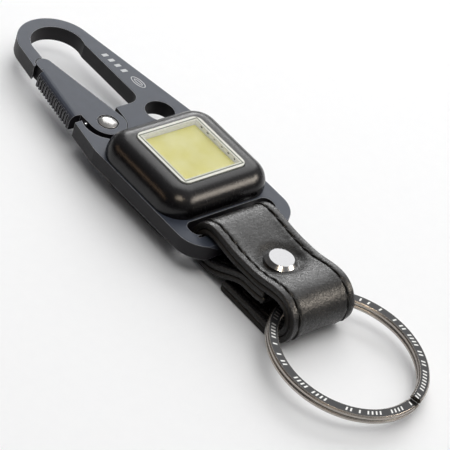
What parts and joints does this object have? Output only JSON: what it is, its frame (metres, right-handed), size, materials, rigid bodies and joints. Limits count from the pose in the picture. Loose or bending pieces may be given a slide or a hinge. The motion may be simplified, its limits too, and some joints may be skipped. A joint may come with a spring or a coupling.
{
  "type": "keychain light",
  "caption": "Carabiner keychain light: flat metal plate with a sprung gate, a push-to-light square lens, a snapped leather strap and a split key ring.",
  "frame": {"origin": "centre of the flat back face of the battery cover, on the light's axis", "axes": "+X along the plate to the tip of the hook, +Y across it to the gate, +Z out through the lens"},
  "size_m": [0.1188, 0.032, 0.0126],
  "materials": {
    "plate": "satin blue-grey coat, darker on the sides",
    "rivet": "polished dome",
    "spring_steel": "bright spring steel",
    "housing": "glossy black",
    "seal": "matte black",
    "lens": "clear, slightly frosted at the rim",
    "phosphor": "pale yellow phosphor",
    "aluminium_board": "white-masked aluminium",
    "inner_plastic": "matte dark",
    "wire_sleeve": "coloured sleeve",
    "circuit_board": "green mask",
    "contact_metal": "plated strip",
    "cell_steel": "satin cell can",
    "cover": "fine matte texture",
    "screw_steel": "zinc plated",
    "leather_face": "grained black leather",
    "leather_lining": "smooth black lining",
    "snap_metal": "polished nickel",
    "ring_metal": "dark nickel"
  },
  "bodies": {
    "frame": {"carabiner_frame": "plate", "gate_pivot_rivet": "rivet", "gate_spring": "spring_steel", "light_housing": "housing", "housing_gasket": "seal", "button_spring": "spring_steel", "led_wires": "wire_sleeve", "tact_switch": "spring_steel", "control_board": "circuit_board", "board_components": "inner_plastic", "positive_contact": "contact_metal", "upper_cell": "cell_steel", "lower_cell": "cell_steel", "negative_contact": "contact_metal", "battery_cover": "cover", "cover_seal": "seal", "cover_screws": "screw_steel"},
    "gate": {"gate_lever": "plate"},
    "lens_button": {"lens_cap": "lens", "cob_emitter": "phosphor", "led_board": "aluminium_board", "button_carrier": "inner_plastic"},
    "strap": {"strap_outer": "leather_face", "strap_lining": "leather_lining", "snap_cap": "snap_metal", "snap_socket": "snap_metal", "snap_stud": "snap_metal", "snap_post": "snap_metal"},
    "ring": {"key_ring": "ring_metal"}
  },
  "joints": [
    {"name": "gate_hinge", "type": "hinge", "parent": "frame", "child": "gate", "pos_m": [0.0177, 0.00565, 0.0066], "axis": [0, 0, -1], "range_deg": [0, 16], "stiffness_Nm_per_rad": 0.02},
    {"name": "lens_press", "type": "slide", "parent": "frame", "child": "lens_button", "axis": [0, 0, -1], "range_m": [0, 0.0004], "stiffness_N_per_m": 2000, "deforming": ["button_spring", "led_wires"]},
    {"name": "strap_swing", "type": "hinge", "parent": "frame", "child": "strap", "pos_m": [-0.0187, 0, 0.00575], "axis": [0, 1, 0], "range_deg": [-90, 90]},
    {"name": "ring_swing", "type": "hinge", "parent": "strap", "child": "ring", "pos_m": [-0.0385, 0, 0.0055], "axis": [0, 1, 0], "range_deg": [-90, 100]}
  ]
}
